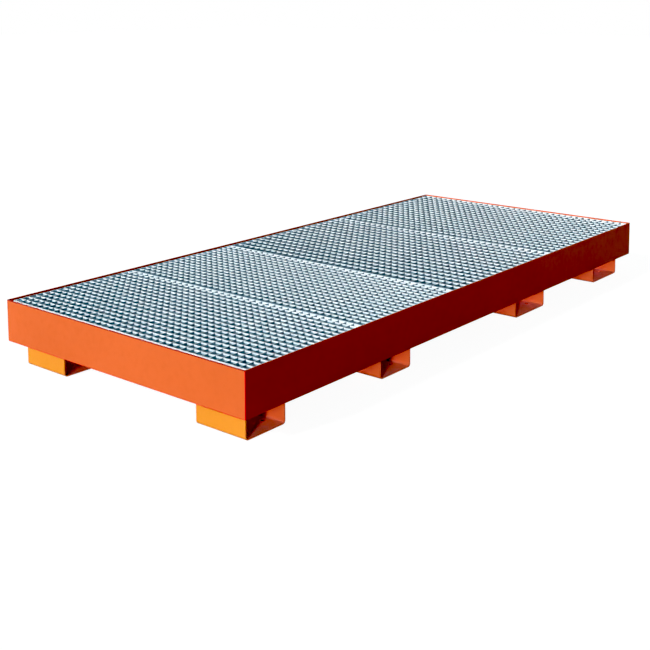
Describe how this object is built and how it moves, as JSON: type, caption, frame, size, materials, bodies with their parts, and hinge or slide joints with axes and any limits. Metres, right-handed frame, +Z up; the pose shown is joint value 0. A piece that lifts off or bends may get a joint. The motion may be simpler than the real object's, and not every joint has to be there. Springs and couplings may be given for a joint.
{
  "type": "spill containment pallet",
  "caption": "Long, low steel drip sump on folded feet, with lift-out galvanised gratings that carry drums or vehicles above the liquid space.",
  "frame": {"origin": "on the floor, under the middle of the pallet's footprint", "axes": "+X along the length towards the rear end, +Y across the width to the left long side, +Z up"},
  "size_m": [2.75, 1.25, 0.255],
  "materials": {
    "tank_paint": "semi-gloss red-orange paint on sheet steel",
    "foot_paint": "semi-gloss yellow-orange paint on sheet steel",
    "galvanised": "hot-dip galvanised, cool grey with a soft sheen"
  },
  "bodies": {
    "sump": {"pan_sheet": "tank_paint", "end_plate_front": "tank_paint", "end_plate_rear": "tank_paint", "ledge_right": "tank_paint", "ledge_left": "tank_paint", "ledge_front": "tank_paint", "ledge_rear": "tank_paint", "cross_bearer_1": "tank_paint", "cross_bearer_2": "tank_paint", "cross_bearer_3": "tank_paint", "foot_1_right": "foot_paint", "foot_1_left": "foot_paint", "foot_2_right": "foot_paint", "foot_2_left": "foot_paint", "foot_3_right": "foot_paint", "foot_3_left": "foot_paint", "foot_4_right": "foot_paint", "foot_4_left": "foot_paint"},
    "grating_1": {"grating_1_bars": "galvanised", "grating_1_front_band": "galvanised", "grating_1_rear_band": "galvanised"},
    "grating_2": {"grating_2_bars": "galvanised", "grating_2_front_band": "galvanised", "grating_2_rear_band": "galvanised"},
    "grating_3": {"grating_3_bars": "galvanised", "grating_3_front_band": "galvanised", "grating_3_rear_band": "galvanised"},
    "grating_4": {"grating_4_bars": "galvanised", "grating_4_front_band": "galvanised", "grating_4_rear_band": "galvanised"}
  },
  "joints": [
    {"name": "grating_1_lift", "type": "slide", "parent": "sump", "child": "grating_1", "axis": [0, 0, 1], "range_m": [0, 0.2]},
    {"name": "grating_2_lift", "type": "slide", "parent": "sump", "child": "grating_2", "axis": [0, 0, 1], "range_m": [0, 0.2]},
    {"name": "grating_3_lift", "type": "slide", "parent": "sump", "child": "grating_3", "axis": [0, 0, 1], "range_m": [0, 0.2]},
    {"name": "grating_4_lift", "type": "slide", "parent": "sump", "child": "grating_4", "axis": [0, 0, 1], "range_m": [0, 0.2]}
  ]
}
